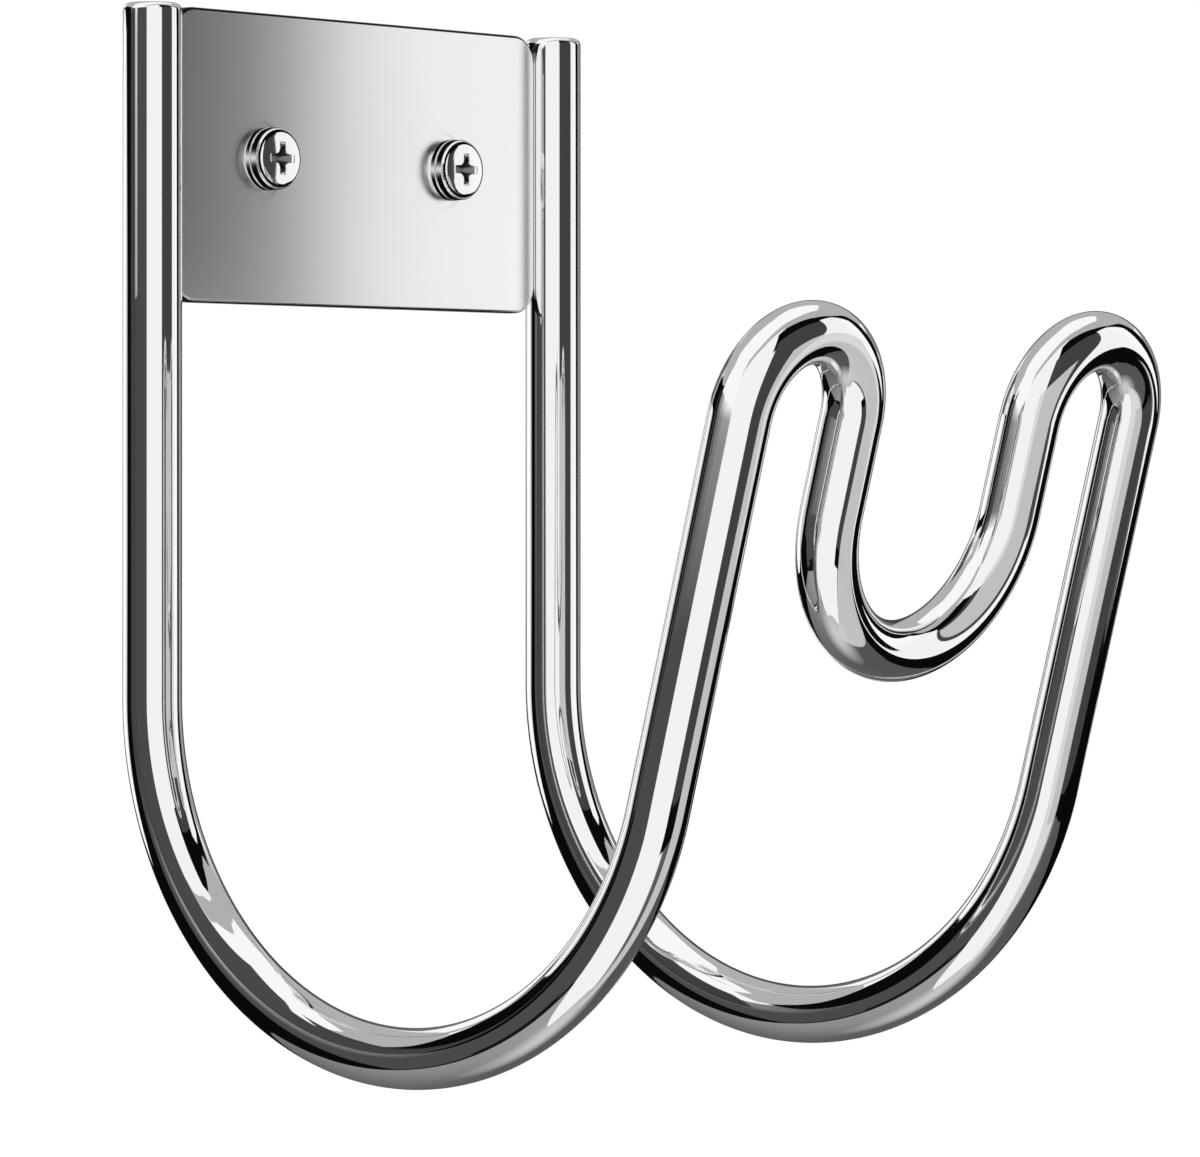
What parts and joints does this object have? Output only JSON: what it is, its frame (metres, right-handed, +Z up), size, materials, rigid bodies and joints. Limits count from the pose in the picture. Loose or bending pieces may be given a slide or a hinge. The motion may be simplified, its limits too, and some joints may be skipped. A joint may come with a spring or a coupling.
{
  "type": "hose hanger",
  "caption": "Wall hanger bent from round chromed rod, with a wide cradle, a leaning front with humps, a rest notch, and a welded plate screwed to the wall.",
  "frame": {"origin": "midway between the two wall screws, on the face of the wall", "axes": "+X along the wall to the right as seen from the room, +Y into the wall, +Z up"},
  "size_m": [0.134, 0.2021, 0.214],
  "materials": {
    "rod_chrome": "polished bent steel rod, mirror bright",
    "plate_steel": "smooth satin sheet steel",
    "weld_steel": "ground weld seam",
    "washer_chrome": "polished washer",
    "screw_chrome": "polished pan head screw"
  },
  "bodies": {
    "root": {"hanger_rod": "rod_chrome", "mounting_plate": "plate_steel", "weld_left": "weld_steel", "weld_right": "weld_steel", "washer_left": "washer_chrome", "washer_right": "washer_chrome", "screw_left": "screw_chrome", "screw_right": "screw_chrome"}
  },
  "joints": []
}
